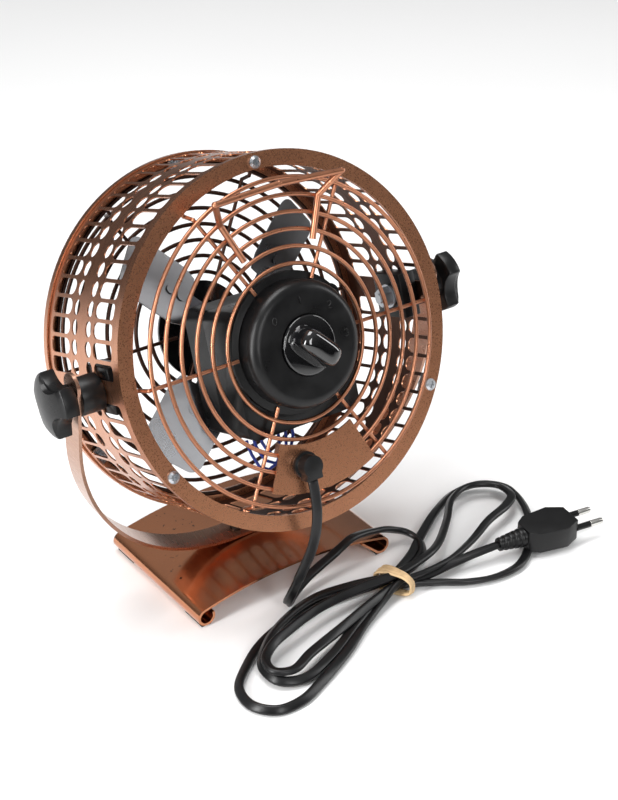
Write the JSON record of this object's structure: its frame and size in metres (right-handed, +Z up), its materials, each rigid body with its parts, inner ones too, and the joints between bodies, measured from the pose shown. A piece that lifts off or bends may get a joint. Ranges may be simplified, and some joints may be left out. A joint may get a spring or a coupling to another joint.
{
  "type": "desk fan",
  "caption": "Drum-shaped desk fan in copper-coloured sheet, tilting in a strip yoke on an arched base, with wire grilles, a rear speed knob and a tied mains cord.",
  "frame": {"origin": "centre of the footprint of the fan without its cord, on the surface it stands on", "axes": "+X to the left seen from behind, across the yoke; +Y out of the back of the fan, so it blows towards -Y; +Z up"},
  "size_m": [0.3329, 0.2204, 0.2619],
  "materials": {
    "copper_drum": "vertical brushed copper coloured lacquer on the drum band",
    "copper_ring": "copper coloured lacquer on the drum rings and cord plate",
    "copper_base": "copper coloured lacquer, brushed along the base",
    "copper_yoke": "paler copper coloured strip",
    "copper_wire": "copper plated wire",
    "black_plastic": "satin black",
    "black_gloss": "glossy black",
    "rubber": "matt",
    "zinc": "bright zinc plate",
    "bright_steel": "polished",
    "dark_steel": "browned",
    "lamination": "oiled steel",
    "winding": "enamelled copper wire",
    "bronze": "sintered bronze or brass",
    "lead_wire": "insulated lead",
    "blade": "rolled sheet",
    "cord_black": "flat black mains cord",
    "tie_fabric": "beige twisted band"
  },
  "bodies": {
    "base": {"base_plate": "copper_base", "foot_pads": "rubber", "yoke": "copper_yoke", "yoke_screws": "dark_steel", "yoke_nuts": "zinc", "cord_hank": "cord_black", "cord_tie": "tie_fabric", "plug_body": "black_plastic", "plug_sleeves": "black_plastic", "plug_pins": "bright_steel", "cord_lead": "cord_black"},
    "head": {"drum_band": "copper_drum", "front_ring": "copper_ring", "rear_ring": "copper_ring", "front_ring_screws": "zinc", "rear_ring_screws": "zinc", "front_clips": "zinc", "rear_clips": "zinc", "front_ring_nuts": "zinc", "rear_ring_nuts": "zinc", "front_grille": "copper_wire", "front_badge": "black_gloss", "rear_grille": "copper_wire", "carry_handle": "copper_wire", "cord_plate": "copper_ring", "cord_gland": "black_plastic", "gland_nut": "black_plastic", "motor_front_shell": "black_plastic", "motor_rear_shell": "black_plastic", "case_screws": "zinc", "motor_stator": "lamination", "motor_coil": "winding", "front_bush": "bronze", "rear_bush": "bronze", "switch_body": "black_plastic", "switch_cover": "black_plastic", "internal_wires": "lead_wire", "pivot_bosses": "black_plastic", "pivot_blocks": "black_plastic", "pivot_studs": "zinc", "pivot_washers": "zinc", "pivot_nuts": "zinc"},
    "fan": {"motor_shaft": "bright_steel", "motor_rotor": "lamination", "fan_spider": "lamination", "fan_blade_1": "blade", "fan_blade_2": "blade", "fan_blade_3": "blade", "fan_blade_4": "blade", "blade_rivets": "blade", "hub_nut": "dark_steel"},
    "speed_dial": {"speed_knob": "black_gloss"},
    "left_clamp": {"clamp_knob_left": "black_plastic", "knob_insert_left": "bronze"},
    "right_clamp": {"clamp_knob_right": "black_plastic", "knob_insert_right": "bronze"}
  },
  "joints": [
    {"name": "head_tilt", "type": "hinge", "parent": "base", "child": "head", "pos_m": [0, 0.0107, 0.1525], "axis": [1, 0, 0], "range_deg": [-109, 26], "deforming": ["cord_lead"]},
    {"name": "fan_spin", "type": "hinge", "parent": "head", "child": "fan", "pos_m": [0, -0.00254, 0.14794], "axis": [0, 0.9455, 0.3256], "continuous": true},
    {"name": "speed_knob_turn", "type": "hinge", "parent": "head", "child": "speed_dial", "pos_m": [0, 0.05608, 0.16813], "axis": [0, 0.9455, 0.3256], "range_deg": [-135, 0]},
    {"name": "left_clamp_turn", "type": "hinge", "parent": "head", "child": "left_clamp", "pos_m": [0.122, 0.0107, 0.1525], "axis": [1, 0, 0], "range_deg": [0, 360]},
    {"name": "right_clamp_turn", "type": "hinge", "parent": "head", "child": "right_clamp", "pos_m": [-0.122, 0.0107, 0.1525], "axis": [-1, 0, 0], "range_deg": [0, 360]}
  ]
}
